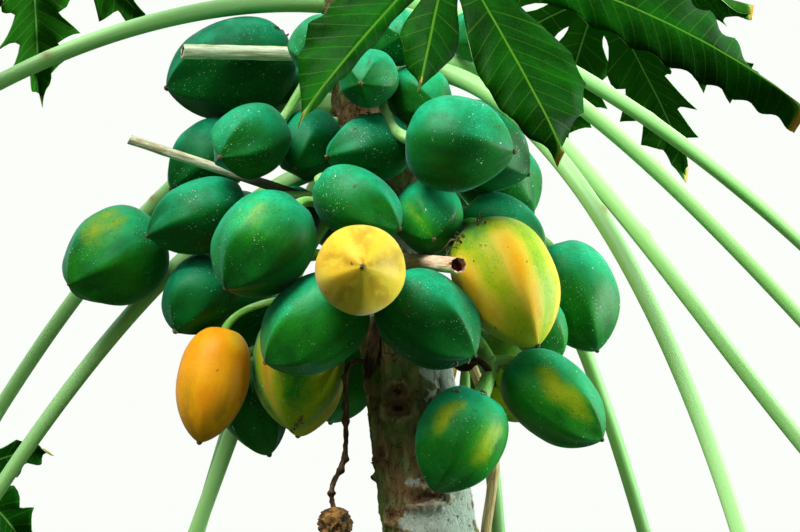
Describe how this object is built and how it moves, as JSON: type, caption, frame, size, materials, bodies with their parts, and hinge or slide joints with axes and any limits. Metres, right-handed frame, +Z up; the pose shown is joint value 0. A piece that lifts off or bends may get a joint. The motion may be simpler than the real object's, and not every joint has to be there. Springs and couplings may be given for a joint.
{
  "type": "papaya tree",
  "caption": "Rooted papaya tree: a leaning scarred trunk, a crown of lobed leaves on long stalks, and green and ripening fruit crowded round its neck.",
  "frame": {"origin": "middle of the flat cut under the trunk, at ground level", "axes": "+Z up the trunk, +X towards the viewer's right, the side the trunk leans away from, -Y towards the viewer of the fullest side"},
  "size_m": [1.935, 1.4577, 3.3766],
  "materials": {
    "bark": "grey-brown bark with raised old leaf scars and patches of green",
    "leaf": "satin green blades on smooth pale green stalks",
    "green_fruit": "waxy dark green skin with specks of dried white latex",
    "ripe_fruit": "waxy yellow and orange skin, green where it ripens last",
    "dry_stalk": "dull straw-coloured and brown dead stalk"
  },
  "bodies": {
    "root": {"trunk": "bark", "leaf_01": "leaf", "leaf_02": "leaf", "leaf_03": "leaf", "leaf_04": "leaf", "leaf_05": "leaf", "leaf_06": "leaf", "leaf_07": "leaf", "leaf_08": "leaf", "leaf_09": "leaf", "leaf_10": "leaf", "leaf_11": "leaf", "leaf_12": "leaf", "leaf_13": "leaf", "leaf_14": "leaf", "leaf_15": "leaf", "leaf_16": "leaf", "leaf_17": "leaf", "leaf_18": "leaf", "leaf_19": "leaf", "leaf_20": "leaf", "stump_top": "dry_stalk", "stump_left": "dry_stalk", "stump_hollow": "dry_stalk", "stump_hanging": "dry_stalk", "dry_bunch": "dry_stalk", "fruit_01": "green_fruit", "fruit_02": "green_fruit", "fruit_03": "green_fruit", "fruit_04": "green_fruit", "fruit_05": "green_fruit", "fruit_06": "green_fruit", "fruit_07": "green_fruit", "fruit_08": "green_fruit", "fruit_09": "green_fruit", "fruit_10": "green_fruit", "fruit_11": "green_fruit", "fruit_12": "green_fruit", "fruit_13": "green_fruit", "fruit_14": "green_fruit", "fruit_15": "green_fruit", "fruit_16": "green_fruit", "fruit_17": "green_fruit", "fruit_18": "green_fruit", "fruit_19": "green_fruit", "fruit_20": "ripe_fruit", "fruit_21": "green_fruit", "fruit_22": "green_fruit", "fruit_23": "ripe_fruit", "fruit_24": "ripe_fruit", "fruit_25": "ripe_fruit", "fruit_26": "ripe_fruit", "fruit_27": "green_fruit", "fruit_28": "green_fruit", "fruit_29": "green_fruit", "fruit_30": "green_fruit", "fruit_31": "green_fruit", "fruit_32": "green_fruit", "fruit_33": "green_fruit", "fruit_34": "green_fruit"}
  },
  "joints": []
}
